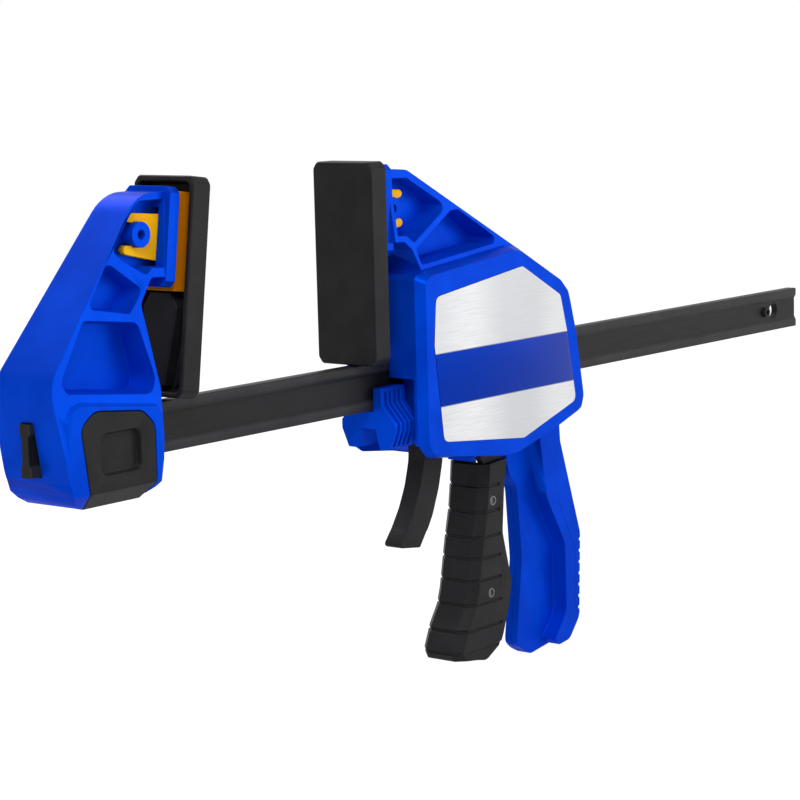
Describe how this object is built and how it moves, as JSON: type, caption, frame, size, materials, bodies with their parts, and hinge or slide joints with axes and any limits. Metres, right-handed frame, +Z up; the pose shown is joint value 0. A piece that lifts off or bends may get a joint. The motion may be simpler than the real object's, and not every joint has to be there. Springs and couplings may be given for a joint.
{
  "type": "quick release bar clamp",
  "caption": "One-handed bar clamp: I-section bar, fixed jaw, sliding carriage with squeeze trigger, release lever and paddle, and two swivelling pads facing a deep throat.",
  "frame": {"origin": "centre of the bar's front end face, the end that stands out of the fixed jaw", "axes": "+X along the bar to its free rear end, +Y across the bar to the far side, +Z up from the bar into the throat"},
  "size_m": [0.588, 0.0484, 0.2512],
  "materials": {
    "bar_steel": "black oxide, satin, with lighter rubbed edges",
    "bright_steel": "zinc plated",
    "blue_plastic": "moulded reinforced nylon, semi-gloss",
    "black_plastic": "moulded nylon with a fine texture",
    "yellow_plastic": "moulded, semi-gloss",
    "pad_rubber": "firm non-marking pad, fine texture",
    "silver_plate": "brushed"
  },
  "bodies": {
    "root": {"bar": "bar_steel", "stop_pin": "bar_steel", "fixed_jaw": "blue_plastic", "latch_spring": "bright_steel"},
    "latch": {"latch_button": "black_plastic", "latch_pin": "bright_steel"},
    "fixed_swivel": {"fixed_yoke": "yellow_plastic", "fixed_pad": "pad_rubber"},
    "carriage": {"housing_near": "blue_plastic", "housing_far": "blue_plastic", "housing_screws": "bright_steel", "label_plate_near": "silver_plate", "label_plate_far": "silver_plate", "handle_backstrap": "blue_plastic", "trigger_pin": "bright_steel", "drive_spring": "bright_steel", "brake_spring": "bright_steel", "release_pin": "bright_steel"},
    "moving_swivel": {"moving_yoke": "yellow_plastic", "moving_pad": "pad_rubber"},
    "trigger": {"trigger_core": "black_plastic", "trigger_grip": "black_plastic", "trigger_screws": "bright_steel"},
    "drive": {"drive_plates": "bright_steel"},
    "brake": {"brake_plate": "bright_steel"},
    "lever": {"release_lever": "black_plastic", "release_link_pin": "bright_steel"},
    "paddle": {"release_paddle": "blue_plastic"}
  },
  "joints": [
    {"name": "latch_slide", "type": "slide", "parent": "root", "child": "latch", "axis": [0, 1, 0], "range_m": [0, 0.0036], "stiffness_N_per_m": 400, "springref_m": -0.004, "deforming": ["latch_spring"]},
    {"name": "fixed_pad_swivel", "type": "hinge", "parent": "root", "child": "fixed_swivel", "pos_m": [0.05862, 0, 0.081], "axis": [0, -1, 0], "range_deg": [-0.8, 4]},
    {"name": "carriage_slide", "type": "slide", "parent": "root", "child": "carriage", "axis": [1, 0, 0], "range_m": [-0.09, 0.195]},
    {"name": "moving_pad_swivel", "type": "hinge", "parent": "carriage", "child": "moving_swivel", "pos_m": [0.2234, 0, 0.0803], "axis": [0, 1, 0], "range_deg": [-0.8, 4]},
    {"name": "trigger_squeeze", "type": "hinge", "parent": "carriage", "child": "trigger", "pos_m": [0.292, 0, 0.042], "axis": [0, -1, 0], "range_deg": [0, 14], "stiffness_Nm_per_rad": 2, "springref_deg": -17.19},
    {"name": "drive_plates_slide", "type": "slide", "parent": "carriage", "child": "drive", "axis": [1, 0, 0], "range_m": [0, 0.0103], "deforming": ["drive_spring"]},
    {"name": "lever_pull", "type": "hinge", "parent": "carriage", "child": "lever", "pos_m": [0.254, 0, -0.016], "axis": [0, -1, 0], "range_deg": [0, 14], "stiffness_Nm_per_rad": 0.6, "springref_deg": -17.19},
    {"name": "brake_release", "type": "hinge", "parent": "carriage", "child": "brake", "pos_m": [0.238, 0, 0.017], "axis": [0, -1, 0], "range_deg": [0, 3]},
    {"name": "paddle_slide", "type": "slide", "parent": "carriage", "child": "paddle", "axis": [1, 0, 0], "range_m": [0, 0.0024]}
  ],
  "couplings": [
    {"joint": "drive_plates_slide", "follows": "trigger_squeeze", "m_per_rad": 0.042},
    {"joint": "brake_release", "follows": "lever_pull", "ratio": 0.2142},
    {"joint": "paddle_slide", "follows": "lever_pull", "m_per_rad": 0.0094}
  ]
}
